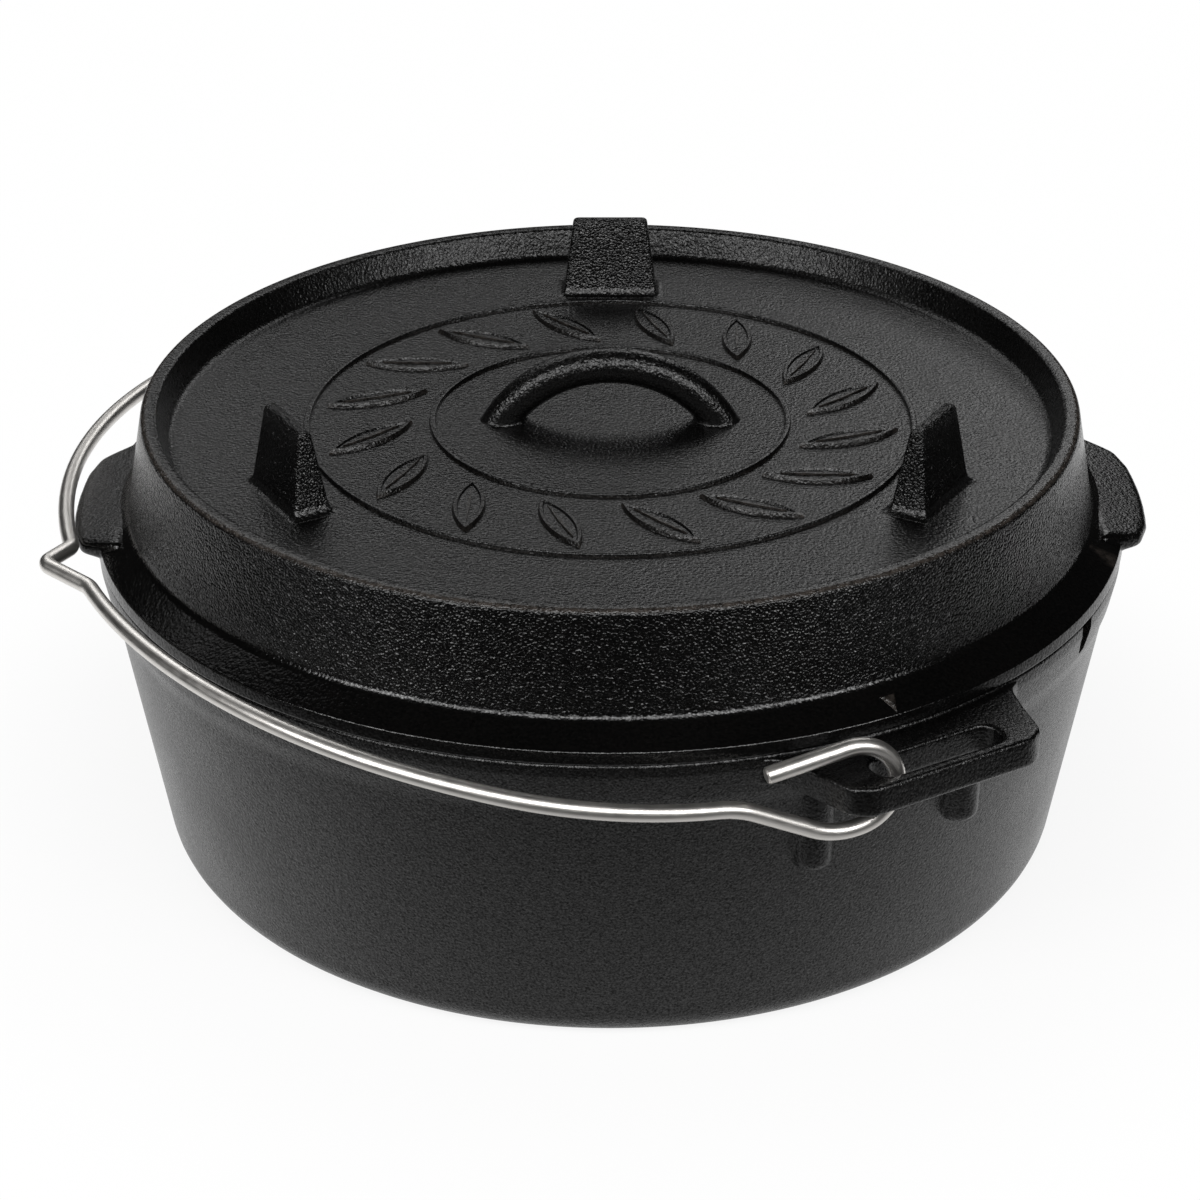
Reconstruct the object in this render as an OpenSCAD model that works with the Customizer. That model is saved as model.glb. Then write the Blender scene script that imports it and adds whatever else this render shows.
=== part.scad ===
// Camp dutch oven: a cast pot with two slotted ears, a deep lid that is also a pan,
// and a bent wire bail that lies down over the lid's tab.
// Millimetres, +Z up, origin at the centre of the pot's flat base, lid tabs along X.

/* [Pot] */
// Height of the pot rim above the base
pot_h = 101; // [92:0.5:115]
// Outer radius of the pot at its rim
rim_r = 156; // [150:0.1:162]
// Outer radius that the wall line has at base level
foot_r = 138.7; // [134:0.1:144]
// Radius of the round between wall and base
foot_round = 11.5; // [8:0.5:16]
// Thickness of the pot wall
wall_t = 4.6; // [4:0.1:6]
// Thickness of the pot floor
floor_t = 5.5; // [4:0.5:8]
// Height of the thicker collar under the rim
collar_h = 12; // [9:0.5:16]
// How far the collar stands out from the wall line
collar_out = 0.9; // [0.5:0.1:1.5]
// Direction of the probe notch in the rim, degrees
notch_az = -28.2; // [-33:0.1:-24]
// Width of the probe notch at the rim
notch_w = 7; // [6:0.1:9]
// Depth of the probe notch below the rim
notch_d = 10.6; // [8:0.1:13]

/* [Ears] */
// Direction of the front ear, degrees
ear_az = -59; // [-63:0.5:-55]
// Reach of an ear past the rim radius
ear_reach = 23.6; // [22.5:0.1:26]
// Thickness of an ear plate
ear_t = 8.5; // [7:0.1:10]
// Drop of the ear's top face below the rim
ear_drop = 1; // [0.6:0.1:3]
// Half width of an ear near its outer end
ear_half = 31.5; // [30:0.1:33]
// How much wider each side of an ear is at the wall
ear_flare = 7; // [4:0.1:10]
// Radius of the ear's outer corners
ear_round = 8.5; // [5:0.1:10]
// Half length of the slot through an ear
slot_half = 20.5; // [19:0.1:21.5]
// Width of the slot through an ear
slot_w = 9.8; // [9.2:0.1:10.6]
// Width of the bar outside the slot
bar_w = 4.6; // [3.6:0.1:5.6]
// Radius of the half-round nubs under the ear arms
nub_r = 6.4; // [4:0.1:7]
// Length of the nubs below the ear plate
nub_len = 34.5; // [20:0.5:40]
// Sideways shift of the pair of nubs
nub_shift = 1.5; // [0:0.1:2]

/* [Lid] */
// Height of the lid's rim above the pot rim
lid_h = 38.7; // [34:0.1:46]
// Width of the sloping flange outside the lid wall
flange_w = 10; // [8:0.1:12]
// Thickness of the flange at its edge
flange_t = 3.8; // [3:0.1:5]
// How far the lid wall leans in from flange to rim
lid_lean = 5.6; // [3:0.1:8]
// Width of the lid's rim
lid_rim_w = 4.5; // [3.5:0.1:6]
// Depth of the coal tray below the lid's rim
tray_d = 8.9; // [6:0.1:12]
// Thickness of the lid plate
lid_t = 4.8; // [4.2:0.1:6.5]
// Depth of the ring that centres the lid in the pot mouth
skirt_h = 3.2; // [2:0.1:5]
// Clearance between that ring and the pot mouth
skirt_gap = 1; // [0.6:0.1:2]

/* [Lid tabs] */
// Reach of a tab past the flange edge
tab_reach = 6.7; // [5:0.1:8]
// Half width of a tab at its outer edge
tab_half = 32; // [26:0.1:34]
// Thickness of a tab at its outer edge
tab_t = 3.1; // [2.2:0.1:3.6]
// Direction of the left tab, degrees
tab_left_az = 181.9; // [179:0.1:182]

/* [Lid legs] */
// Radius of the circle that the three legs stand on
leg_r = 106.6; // [102:0.1:112]
// How much further in the back leg stands
leg_back_in = 3; // [0:0.1:4]
// Height of a leg above the tray floor
leg_h = 25; // [20:0.1:30]
// Width of a leg at its top
leg_top_w = 24; // [18:0.1:28]
// Width of a leg at its foot
leg_foot_w = 30.5; // [28.5:0.1:34]
// Thickness of a leg at its top
leg_top_t = 3.8; // [3:0.1:6]
// Thickness of a leg at its foot
leg_foot_t = 11.5; // [9:0.1:14]

/* [Lid handle] */
// Diameter of the arched handle bar
grip_d = 11; // [9:0.1:13]
// Distance between the bar's centres at the tray floor
grip_span = 66; // [58:0.5:76]
// Height of the bar's centre above the tray floor at the top of the arch
grip_rise = 17.9; // [16:0.1:22]

/* [Lid relief] */
// Number of leaves in the cast ring
leaf_count = 16; // [8:1:20]
// Length of one leaf
leaf_len = 33; // [24:0.5:36]
// Width of one leaf
leaf_w = 10; // [6:0.1:11]
// Radius of the circle of leaf centres
leaf_r = 73; // [71:0.5:76]
// Turn of each leaf away from the radial line, degrees
leaf_turn = 32; // [0:1:40]
// Height of the relief above the tray floor
relief_h = 1.3; // [0.8:0.1:2]

/* [Bail] */
// Diameter of the bail wire
wire_d = 4.8; // [4:0.1:5.2]
// Turn of the bail's hinge line from the ear direction, degrees
bail_skew = -12; // [-14:0.1:-10]
// Rise of the bail's plane as it lies, degrees
bail_tilt = 5.4; // [5:0.1:8]
// Radius of the hook's bend
hook_r = 12.4; // [11.8:0.1:13]
// Length of the hook's straight tail
hook_tail = 25; // [15:0.1:30]
// Fall of the hook's tail, degrees
hook_fall = 8; // [0:0.5:10]
// Height of the kink in the middle of the bail
kink_h = 8.5; // [6:0.1:10]
// Half width of the kink on its front side
kink_front = 17; // [14.5:0.1:20]
// Half width of the kink on its rear side
kink_rear = 13; // [12:0.1:17]
// How much nearer to the pot the front half of the arch lies
arch_lean = 1.1; // [0:0.1:1.5]

/* [Hidden] */
$fn = 128;
// Gap and bead where two bends of the wire meet
joint_gap = 0.15;
joint_bead = 0.06;

// Pot wall line, radius at height z
wall_slope = (rim_r - 0.5 - foot_r) / pot_h;
function wall_at(z) = foot_r + wall_slope * z;
wall_len = sqrt(1 + wall_slope * wall_slope);
mouth_r = rim_r - wall_t - 1;

// Ear plate, along its own direction (n) and across it (t)
ear_n = rim_r + ear_reach;
slot_out = ear_n - bar_w;
slot_in = slot_out - slot_w;
ear_top = pot_h - ear_drop;
ear_mid = ear_top - ear_t / 2;
arm_t = (ear_half + slot_half) / 2;

// Lid levels and radii
seat_z = pot_h;
flange_r = rim_r + 0.6;
lid_foot_r = flange_r - flange_w;
lid_top = seat_z + lid_h;
lid_rim_r = lid_foot_r - lid_lean;
tray_z = lid_top - tray_d;
plate_z = tray_z - lid_t;
tab_r = flange_r + tab_reach;
flange_top = seat_z + flange_t;
slope_top = flange_top + 0.45 * flange_w;
tray_r = lid_rim_r - lid_rim_w - 3.2;
grip_r = (grip_span * grip_span / 4 + grip_rise * grip_rise) / (2 * grip_rise);

// Bail hinge line: hook centre on the front ear's arm, then the line's own frame
wire_r = wire_d / 2;
hook_n = slot_out - slot_w / 2 - 1;
hook_t = arm_t + 1;
hook_z = ear_mid + 0.4;
bail_az = ear_az + bail_skew;
hook_span = hook_n * cos(bail_skew) - hook_t * sin(bail_skew);
hook_back = hook_t * cos(bail_skew) + hook_n * sin(bail_skew);
// Arch in the bail's plane, with the reach of its rear half
plane_drop = 3.2;
arch_far = tab_r + wire_r + 0.9 - hook_back;
end_r = 28;
tip_r = 4;
shoulder_r = 5;
tip_y = arch_far + kink_h - tip_r;
// Flank angle of the kink, from its shoulder's centre
function flank_angle(x, y) =
    asin((tip_r + shoulder_r) / norm([x, y - tip_y])) - atan2(y - tip_y, x);
function shoulder_at(far, arch_r, kink) = [
    (arch_r + shoulder_r) * kink / arch_r,
    far - arch_r + (arch_r + shoulder_r) * sqrt(1 - pow(kink / arch_r, 2))
];
front_r = hook_span + 18;
rear_r = hook_span + 13;
front_far = arch_far - arch_lean;
front_flank = flank_angle(shoulder_at(front_far, front_r, kink_front)[0],
    shoulder_at(front_far, front_r, kink_front)[1]);
rear_flank = flank_angle(shoulder_at(arch_far, rear_r, kink_rear)[0],
    shoulder_at(arch_far, rear_r, kink_rear)[1]);
// Bend from the arch's end down to the hook, in the upright plane of the hook
bend_r = 14;
end_z = end_r * sin(bail_tilt) - plane_drop * cos(bail_tilt);
end_y = end_r * cos(bail_tilt) + plane_drop * sin(bail_tilt);
bend_y = end_y + bend_r * sin(bail_tilt);
bend_z = end_z - bend_r * cos(bail_tilt);
ramp_a = atan2(bend_z, bend_y) + asin((bend_r + hook_r) / norm([bend_y, bend_z]));
ramp_len = sqrt(bend_y * bend_y + bend_z * bend_z - pow(bend_r + hook_r, 2));

module pot_outline() {
    cx = foot_r + wall_slope * foot_round - foot_round * wall_len;
    tx = cx + foot_round / wall_len;
    tz = foot_round - foot_round * wall_slope / wall_len;
    polygon([
        [0, 0], [cx, 0], [tx, tz],
        [wall_at(pot_h - collar_h - 5), pot_h - collar_h - 5],
        [wall_at(pot_h - collar_h) + collar_out, pot_h - collar_h],
        [rim_r, pot_h - 4],
        [rim_r, pot_h - 1.4],
        [rim_r - 1, pot_h],
        [0, pot_h]
    ]);
    translate([cx, foot_round]) circle(r = foot_round);
}

module pot_hollow() {
    r = foot_round - 3;
    in_foot = foot_r - wall_t * wall_len;
    cx = in_foot + wall_slope * (floor_t + r) - r * wall_len;
    tx = cx + r / wall_len;
    tz = floor_t + r - r * wall_slope / wall_len;
    polygon([
        [0, floor_t], [cx, floor_t], [tx, tz],
        [in_foot + wall_slope * (pot_h - 9), pot_h - 9],
        [mouth_r, pot_h - 5],
        [mouth_r, pot_h + 1],
        [0, pot_h + 1]
    ]);
    translate([cx, floor_t + r]) circle(r = r);
}

module ear_outline() {
    root_n = rim_r - 12;
    c_n = ear_n - ear_round;
    c_t = ear_half - ear_round;
    polygon([
        [root_n - 20, 0],
        [root_n - 20, ear_half + ear_flare + 1],
        [root_n, ear_half + ear_flare + 4],
        [root_n + 10, ear_half + ear_flare * 0.72],
        [c_n, ear_half],
        [c_n, 0]
    ]);
    translate([root_n, 0]) square([c_n - root_n, ear_half]);
    translate([root_n, 0]) square([ear_n - root_n, c_t]);
    translate([c_n, c_t]) circle(r = ear_round);
}

module slot_outline() {
    round_r = 3.5;
    translate([slot_in + round_r, -slot_half]) square([slot_w - 2 * round_r, 2 * slot_half]);
    translate([slot_in, -slot_half + round_r]) square([slot_w, 2 * (slot_half - round_r)]);
    for (n = [slot_in + round_r, slot_out - round_r])
        for (t = [-slot_half + round_r, slot_half - round_r])
            translate([n, t]) circle(r = round_r);
}

module ear() {
    translate([0, 0, ear_top - ear_t])
        linear_extrude(height = ear_t)
            difference() {
                union() {
                    ear_outline();
                    mirror([0, 1]) ear_outline();
                }
                slot_outline();
            }
    for (s = [-1, 1])
        translate([wall_at(ear_mid - nub_len) - nub_r / 3, s * (arm_t - 1) + nub_shift, ear_mid - nub_len])
            cylinder(h = nub_len, r1 = nub_r - 0.8, r2 = nub_r);
}

module pot() {
    color("#26262a")
        difference() {
            union() {
                rotate_extrude() pot_outline();
                rotate([0, 0, ear_az]) ear();
                mirror([cos(bail_az), sin(bail_az), 0]) rotate([0, 0, ear_az]) ear();
            }
            rotate_extrude() pot_hollow();
            rotate([0, 0, notch_az])
                translate([mouth_r - 10, 0, 0])
                    rotate([90, 0, 90])
                        linear_extrude(height = 24)
                            polygon([
                                [-notch_w / 2, pot_h + 1], [-notch_w / 2, pot_h - notch_d * 0.55],
                                [-notch_w / 4, pot_h - notch_d], [notch_w / 4, pot_h - notch_d],
                                [notch_w / 2, pot_h - notch_d * 0.55], [notch_w / 2, pot_h + 1]
                            ]);
        }
}

module lid_outline() {
    polygon([
        [0, tray_z], [tray_r - 1.6, tray_z],
        [tray_r, tray_z + 1.4],
        [lid_rim_r - lid_rim_w, lid_top - 0.9],
        [lid_rim_r - lid_rim_w + 1, lid_top],
        [lid_rim_r - 1.4, lid_top],
        [lid_rim_r, lid_top - 1.4],
        [lid_foot_r - 0.3, slope_top + 1.6],
        [lid_foot_r + 0.9, slope_top - 0.2],
        [flange_r - 0.6, flange_top],
        [flange_r, flange_top - 0.5],
        [flange_r, seat_z + 0.6],
        [flange_r - 0.6, seat_z],
        [mouth_r - skirt_gap, seat_z],
        [mouth_r - skirt_gap, seat_z - skirt_h],
        [mouth_r - skirt_gap - 4, seat_z - skirt_h],
        [lid_foot_r - 4.4, seat_z + 3],
        [lid_rim_r - 2, plate_z - 4.5],
        [lid_rim_r - 6.5, plate_z],
        [0, plate_z]
    ]);
}

module tab() {
    intersection() {
        linear_extrude(height = lid_top)
            intersection() {
                circle(r = tab_r);
                polygon([
                    [lid_foot_r - 8, -tab_half - 4], [tab_r - 8.5, -tab_half],
                    [tab_r - 5.3, -tab_half + 1.6], [tab_r, -tab_half + 10],
                    [tab_r, tab_half - 10], [tab_r - 5.3, tab_half - 1.6],
                    [tab_r - 8.5, tab_half], [lid_foot_r - 8, tab_half + 4]
                ]);
            }
        translate([0, 60, 0])
            rotate([90, 0, 0])
                linear_extrude(height = 120)
                    polygon([
                        [lid_foot_r - 3, seat_z + 2.5], [lid_foot_r - 3, slope_top - 0.4],
                        [lid_foot_r + 0.6, slope_top], [tab_r + 1, seat_z + 1.2 + tab_t - 0.2],
                        [tab_r + 1, seat_z + 1.2], [flange_r - 2, seat_z + 1.2]
                    ]);
    }
}

module leg(r) {
    low = tray_z - 2;
    k = 2 / leg_h;
    intersection() {
        translate([r, 30, 0])
            rotate([90, 0, 0])
                linear_extrude(height = 60)
                    polygon([
                        [-leg_foot_t / 2 - k * (leg_foot_t - leg_top_t) / 2, low],
                        [leg_foot_t / 2 + k * (leg_foot_t - leg_top_t) / 2, low],
                        [leg_top_t / 2, tray_z + leg_h], [-leg_top_t / 2, tray_z + leg_h]
                    ]);
        translate([r - 30, 0, 0])
            rotate([90, 0, 90])
                linear_extrude(height = 60)
                    polygon([
                        [-leg_foot_w / 2 - k * (leg_foot_w - leg_top_w) / 2, low],
                        [leg_foot_w / 2 + k * (leg_foot_w - leg_top_w) / 2, low],
                        [leg_top_w / 2, tray_z + leg_h], [-leg_top_w / 2, tray_z + leg_h]
                    ]);
    }
}

module grip() {
    intersection() {
        translate([0, 0, tray_z + grip_rise - grip_r])
            rotate([90, 0, 0])
                rotate_extrude()
                    translate([grip_r, 0]) circle(d = grip_d);
        translate([-100, -20, tray_z - 3]) cube([200, 40, 60]);
    }
}

module leaf() {
    blade_r = (leaf_len * leaf_len / 4 + leaf_w * leaf_w / 4) / leaf_w;
    linear_extrude(height = relief_h + 1)
        intersection() {
            translate([0, blade_r - leaf_w / 2]) circle(r = blade_r);
            translate([0, leaf_w / 2 - blade_r]) circle(r = blade_r);
        }
}

module relief() {
    for (i = [0 : leaf_count - 1])
        rotate([0, 0, (i + 0.5) * 360 / leaf_count])
            translate([leaf_r, 0, tray_z - 1])
                rotate([0, 0, leaf_turn])
                    leaf();
    rotate_extrude() {
        translate([leaf_r - 20, tray_z - 1]) square([1.8, relief_h + 1]);
        translate([leaf_r + 18, tray_z - 1]) square([1.8, relief_h + 1]);
    }
}

module mark() {
    fall = atan2(slope_top - flange_top, flange_w);
    rotate([0, 0, -60])
        translate([flange_r - 1.2, 0, flange_top + 0.2])
            rotate([0, fall, 0])
                translate([0, 0, -1])
                    linear_extrude(height = 2.1)
                        polygon([[-6, -2.9], [0, 0], [-6, 2.9]]);
}

module lid() {
    color("#2b2b2e")
        union() {
            rotate_extrude() lid_outline();
            tab();
            rotate([0, 0, tab_left_az]) tab();
            rotate([0, 0, 90]) leg(leg_r - leg_back_in);
            for (a = [210, 330]) rotate([0, 0, a]) leg(leg_r);
            grip();
            relief();
            mark();
        }
}

// Arc of wire in the XY plane about the origin, from angle a0 through sweep.
// Each bend ends a hair short, and a bead at the listed ends joins it to the next one.
module wire_arc(r, a0, sweep, beads) {
    cut = joint_gap / r * 180 / PI;
    rotate([0, 0, a0 + cut])
        rotate_extrude(angle = sweep - 2 * cut)
            translate([r, 0]) circle(r = wire_r);
    for (k = beads)
        rotate([0, 0, a0 + k * sweep])
            translate([r, 0, 0]) bead();
}

module wire_rod(len) {
    translate([joint_gap, 0, 0])
        rotate([0, 90, 0]) cylinder(h = len - 2 * joint_gap, r = wire_r);
}

module bead() {
    sphere(r = wire_r + joint_bead);
}

// Half of the bail in its own frame: X along the hinge line, -Y towards the kink.
// The arch is one wide arc, then a side arc tangent to it, then the bend and the hook.
module half_bail(far, arch_r, kink, flank_a) {
    arch_c = far - arch_r;
    side_r = (arch_r * arch_r - hook_span * hook_span - pow(end_r - arch_c, 2))
        / (2 * (arch_r - hook_span));
    side_a = atan2(hook_span - side_r, end_r - arch_c);
    kink_a = asin(kink / arch_r);
    shoulder = shoulder_at(far, arch_r, kink);
    reach = norm([shoulder[0], shoulder[1] - tip_y]);
    flank_len = sqrt(reach * reach - pow(tip_r + shoulder_r, 2));
    rotate([-bail_tilt, 0, 0])
        translate([0, 0, -plane_drop])
            mirror([0, 1, 0]) {
                translate([0, arch_c, 0]) wire_arc(arch_r, 90 - side_a, side_a - kink_a, [0, 1]);
                translate([hook_span - side_r, end_r, 0]) wire_arc(side_r, 0, 90 - side_a, [0]);
                translate([shoulder[0], shoulder[1], 0])
                    wire_arc(shoulder_r, 270 - flank_a, flank_a - kink_a, [0]);
                translate([tip_r * sin(flank_a), tip_y + tip_r * cos(flank_a), 0])
                    rotate([0, 0, -flank_a]) {
                        wire_rod(flank_len);
                        bead();
                    }
            }
    translate([hook_span, 0, 0])
        rotate([90, 0, -90]) {
            wire_arc(hook_r, 90 - hook_fall, 180 + hook_fall + ramp_a, [0]);
            translate([hook_r * sin(hook_fall), hook_r * cos(hook_fall), 0])
                rotate([0, 0, -hook_fall]) wire_rod(hook_tail);
            translate([hook_r * sin(ramp_a), -hook_r * cos(ramp_a), 0])
                rotate([0, 0, ramp_a]) {
                    wire_rod(ramp_len);
                    bead();
                }
            translate([bend_y, bend_z, 0])
                wire_arc(bend_r, 90 + bail_tilt, ramp_a - bail_tilt, [1]);
        }
}

module bail() {
    color("#c9c8c4")
        rotate([0, 0, bail_az])
            translate([0, -hook_back, hook_z]) {
                half_bail(front_far, front_r, kink_front, front_flank);
                mirror([1, 0, 0]) half_bail(arch_far, rear_r, kink_rear, rear_flank);
                rotate([-bail_tilt, 0, 0])
                    translate([0, 0, -plane_drop])
                        mirror([0, 1, 0])
                            translate([0, tip_y, 0])
                                wire_arc(tip_r, 90 - front_flank, front_flank + rear_flank, []);
            }
}

pot();
lid();
bail();
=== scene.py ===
"""Camp dutch oven: a cast pot, a cast lid with a coal tray and a bent wire bail."""

from __future__ import annotations

import logging
import math
from dataclasses import dataclass, field
from enum import Enum
from typing import Iterable, Sequence

import bmesh
import bpy
from mathutils import Matrix, Vector

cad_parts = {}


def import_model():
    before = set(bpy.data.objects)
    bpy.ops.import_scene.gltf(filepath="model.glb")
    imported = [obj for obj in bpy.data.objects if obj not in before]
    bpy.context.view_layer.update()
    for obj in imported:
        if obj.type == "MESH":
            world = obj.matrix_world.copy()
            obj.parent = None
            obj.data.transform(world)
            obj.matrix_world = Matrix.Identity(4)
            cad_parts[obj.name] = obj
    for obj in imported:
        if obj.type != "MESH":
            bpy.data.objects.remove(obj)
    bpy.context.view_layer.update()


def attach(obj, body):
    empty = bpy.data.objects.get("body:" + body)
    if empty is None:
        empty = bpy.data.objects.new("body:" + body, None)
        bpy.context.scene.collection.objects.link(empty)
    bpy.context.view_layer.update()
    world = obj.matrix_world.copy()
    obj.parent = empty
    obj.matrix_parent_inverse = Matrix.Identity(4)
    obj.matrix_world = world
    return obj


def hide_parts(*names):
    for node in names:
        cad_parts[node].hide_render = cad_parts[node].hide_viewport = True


LOG = logging.getLogger("camp_oven")

# One millimetre, in metres
MM = 0.001
# Largest share of a line's shorter side that a rounded corner takes
CORNER_SHARE = 0.49
# Points closer than this are merged, in millimetres
WELD = 0.002
# Points closer than this count as the same, in millimetres
SAME = 1e-4
# Edges shorter than this are dissolved, in metres
SLIVER = 1e-7
# Faces that meet at less than this are made one, in degrees
FLAT = 1.0
# Strength of one smoothing round on a fused skin
SMOOTHING = 0.5
# Share of a fused skin's triangles that stays
KEPT = 0.45
WHITE = (1.0, 1.0, 1.0, 1.0)

BMesh = bmesh.types.BMesh
BMEdge = bmesh.types.BMEdge
BMVert = bmesh.types.BMVert
Socket = bpy.types.NodeSocket
Pair = tuple[float, float]
Triple = tuple[float, float, float]
Skin = tuple[float, int]


class Grain(Enum):
    """How rough the sand mould left a casting."""

    FINE = "fine"
    COARSE = "coarse"


def rounded(corners: Sequence[Triple], closed: bool = False, step: float = 12.0) -> list[Pair]:
    """Rounds the corners of a line.

    Args:
        corners: Corner points as (x, y, radius), in millimetres.
        closed: True if the last corner joins the first.
        step: Largest turn between two points of an arc, in degrees.

    Returns:
        The points of the line, arcs included.
    """
    points: list[Pair] = []
    last = len(corners) - 1
    for i, (x, y, radius) in enumerate(corners):
        here = Vector((x, y))
        if radius <= 0 or (not closed and i in (0, last)):
            points.append((x, y))
            continue
        back = Vector(corners[i - 1][:2]) - here
        ahead = Vector(corners[(i + 1) % (last + 1)][:2]) - here
        half = back.angle(ahead) / 2
        cut = min(radius / math.tan(half), CORNER_SHARE * min(back.length, ahead.length))
        size = cut * math.tan(half)
        back, ahead = back.normalized(), ahead.normalized()
        centre = here + (back + ahead).normalized() * (size / math.sin(half))
        first = here + back * cut - centre
        final = here + ahead * cut - centre
        begin = math.atan2(first.y, first.x)
        turn = (math.atan2(final.y, final.x) - begin + math.pi) % (2 * math.pi) - math.pi
        count = max(2, math.ceil(abs(math.degrees(turn)) / step))
        for k in range(count + 1):
            angle = begin + turn * k / count
            points.append((centre.x + size * math.cos(angle), centre.y + size * math.sin(angle)))
    return points


def arc(
    x: float, y: float, radius: float, begin: float, turn: float, step: float = 3.0,
) -> list[Pair]:
    """Points of an arc.

    Args:
        x: Centre, first coordinate.
        y: Centre, second coordinate.
        radius: Radius of the arc.
        begin: Start angle in degrees.
        turn: Angle swept in degrees, negative for clockwise.
        step: Largest turn between two points, in degrees.

    Returns:
        The points from the start to the end of the arc.
    """
    count = max(2, math.ceil(abs(turn) / step))
    angles = [math.radians(begin + turn * k / count) for k in range(count + 1)]
    return [(x + radius * math.cos(a), y + radius * math.sin(a)) for a in angles]


def both_sides(side: Sequence[Triple], between: Sequence[Triple] = ()) -> list[Triple]:
    """Mirrors the corners of one side to make a whole outline.

    Args:
        side: Corners of one side as (out, across, radius), from the root outwards.
        between: Corners between the ends of the two sides.

    Returns:
        The corners of the outline.
    """
    painted_reflection = [(out, -across, radius) for out, across, radius in side]
    return painted_reflection + list(between) + list(reversed(side))


def spin_z(degrees: float) -> Matrix:
    """Rotation about the upright axis."""
    return Matrix.Rotation(math.radians(degrees), 4, "Z")


def link(name: str, data: bpy.types.ID) -> bpy.types.Object:
    """Adds an object to the scene.

    Args:
        name: Name of the object.
        data: Its mesh, lamp or camera.

    Returns:
        The new object.
    """
    obj = bpy.data.objects.new(name, data)
    bpy.context.scene.collection.objects.link(obj)
    return obj


class Foundry:
    """The bmesh steps that the castings share. All sizes are in millimetres."""

    @staticmethod
    def whole(bm: BMesh) -> list[object]:
        """Every vertex, edge and face of a mesh."""
        return list(bm.verts) + list(bm.edges) + list(bm.faces)

    @staticmethod
    def loop(bm: BMesh, points: Iterable[tuple[float, ...]], closed: bool = True) -> list[BMEdge]:
        """Lays a line of edges.

        Args:
            bm: The mesh it is added to.
            points: Points with two or three coordinates.
            closed: True if the last point joins the first.

        Returns:
            The new edges.
        """
        verts = [bm.verts.new(tuple(p) + (0.0,) * (3 - len(p))) for p in points]
        pairs = list(zip(verts, verts[1:]))
        if closed:
            pairs.append((verts[-1], verts[0]))
        return [bm.edges.new(pair) for pair in pairs]

    @staticmethod
    def clean(bm: BMesh) -> BMesh:
        """Merges doubles, closes holes and turns the normals outwards.

        Args:
            bm: The mesh to clean.

        Returns:
            The same mesh.
        """
        bmesh.ops.remove_doubles(bm, verts=bm.verts, dist=WELD)
        bmesh.ops.holes_fill(bm, edges=[e for e in bm.edges if e.is_boundary], sides=0)
        bmesh.ops.recalc_face_normals(bm, faces=bm.faces)
        return bm

    @classmethod
    def spin(
        cls, bm: BMesh, angle: float, steps: int, merge: bool = False,
        centre: Triple = (0, 0, 0), axis: Triple = (0, 0, 1),
    ) -> None:
        """Spins everything in a mesh about an axis.

        Args:
            bm: The mesh to spin.
            angle: Angle swept, in radians.
            steps: Number of segments.
            merge: True to join the end of a full turn to its start.
            centre: A point on the axis.
            axis: Direction of the axis.
        """
        bmesh.ops.spin(
            bm, geom=cls.whole(bm), cent=centre, axis=axis, dvec=(0, 0, 0), angle=angle,
            steps=steps, use_merge=merge, use_duplicate=False,
        )

    @classmethod
    def turned(cls, line: Sequence[Pair], steps: int) -> BMesh:
        """Spins a line of (radius, height) points once round the axis.

        Args:
            line: The outline, starting and ending on the axis or closed by the caller.
            steps: Number of segments.

        Returns:
            The turned solid.
        """
        bm = bmesh.new()
        cls.loop(bm, [(r, 0.0, z) for r, z in line], closed=False)
        cls.spin(bm, 2 * math.pi, steps, merge=True)
        return cls.clean(bm)

    @classmethod
    def ring(cls, outline: Sequence[Pair], steps: int) -> BMesh:
        """Spins a closed outline of (radius, height) points once round the axis."""
        return cls.turned(list(outline) + [outline[0]], steps)

    @classmethod
    def sector(cls, outline: Sequence[Pair], half: float, steps: int) -> BMesh:
        """Spins a closed outline through part of a turn, to both sides of +X.

        Args:
            outline: Closed outline of (radius, height) points.
            half: Half of the sector's angle, in degrees.
            steps: Number of segments.

        Returns:
            The closed solid.
        """
        bm = bmesh.new()
        cls.loop(bm, [(r, 0.0, z) for r, z in outline])
        bmesh.ops.rotate(bm, verts=bm.verts, cent=(0, 0, 0), matrix=spin_z(-half).to_3x3())
        cls.spin(bm, math.radians(2 * half), steps)
        return cls.clean(bm)

    @classmethod
    def plate(cls, outlines: Sequence[Sequence[Pair]], low: float, high: float) -> BMesh:
        """Raises a flat outline to a plate.

        Args:
            outlines: The outer line, then any holes.
            low: Lower face.
            high: Upper face.

        Returns:
            The closed plate.
        """
        bm = bmesh.new()
        edges = [e for line in outlines for e in cls.loop(bm, line)]
        bmesh.ops.triangle_fill(bm, edges=edges, use_beauty=True, use_dissolve=False)
        bmesh.ops.translate(bm, verts=bm.verts, vec=(0, 0, low))
        cap = bmesh.ops.duplicate(bm, geom=cls.whole(bm))["geom"]
        top = [g for g in cap if isinstance(g, BMVert)]
        bmesh.ops.translate(bm, verts=top, vec=(0, 0, high - low))
        rims = [e for e in bm.edges if e.is_boundary]
        for line in outlines:
            probe = Vector((line[0][0], line[0][1]))
            start = [e for e in rims if any((v.co.xy - probe).length < SAME for v in e.verts)]
            both = cls.walk(start, set(rims))
            bmesh.ops.bridge_loops(bm, edges=both)
        return cls.clean(bm)

    @classmethod
    def loft(cls, levels: Sequence[Sequence[Triple]]) -> BMesh:
        """Bridges loops of equal count and closes both ends.

        Args:
            levels: The loops, from first to last.

        Returns:
            The closed solid.
        """
        bm = bmesh.new()
        loops = [cls.loop(bm, level) for level in levels]
        for one, other in zip(loops, loops[1:]):
            bmesh.ops.bridge_loops(bm, edges=one + other)
        return cls.clean(bm)

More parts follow.
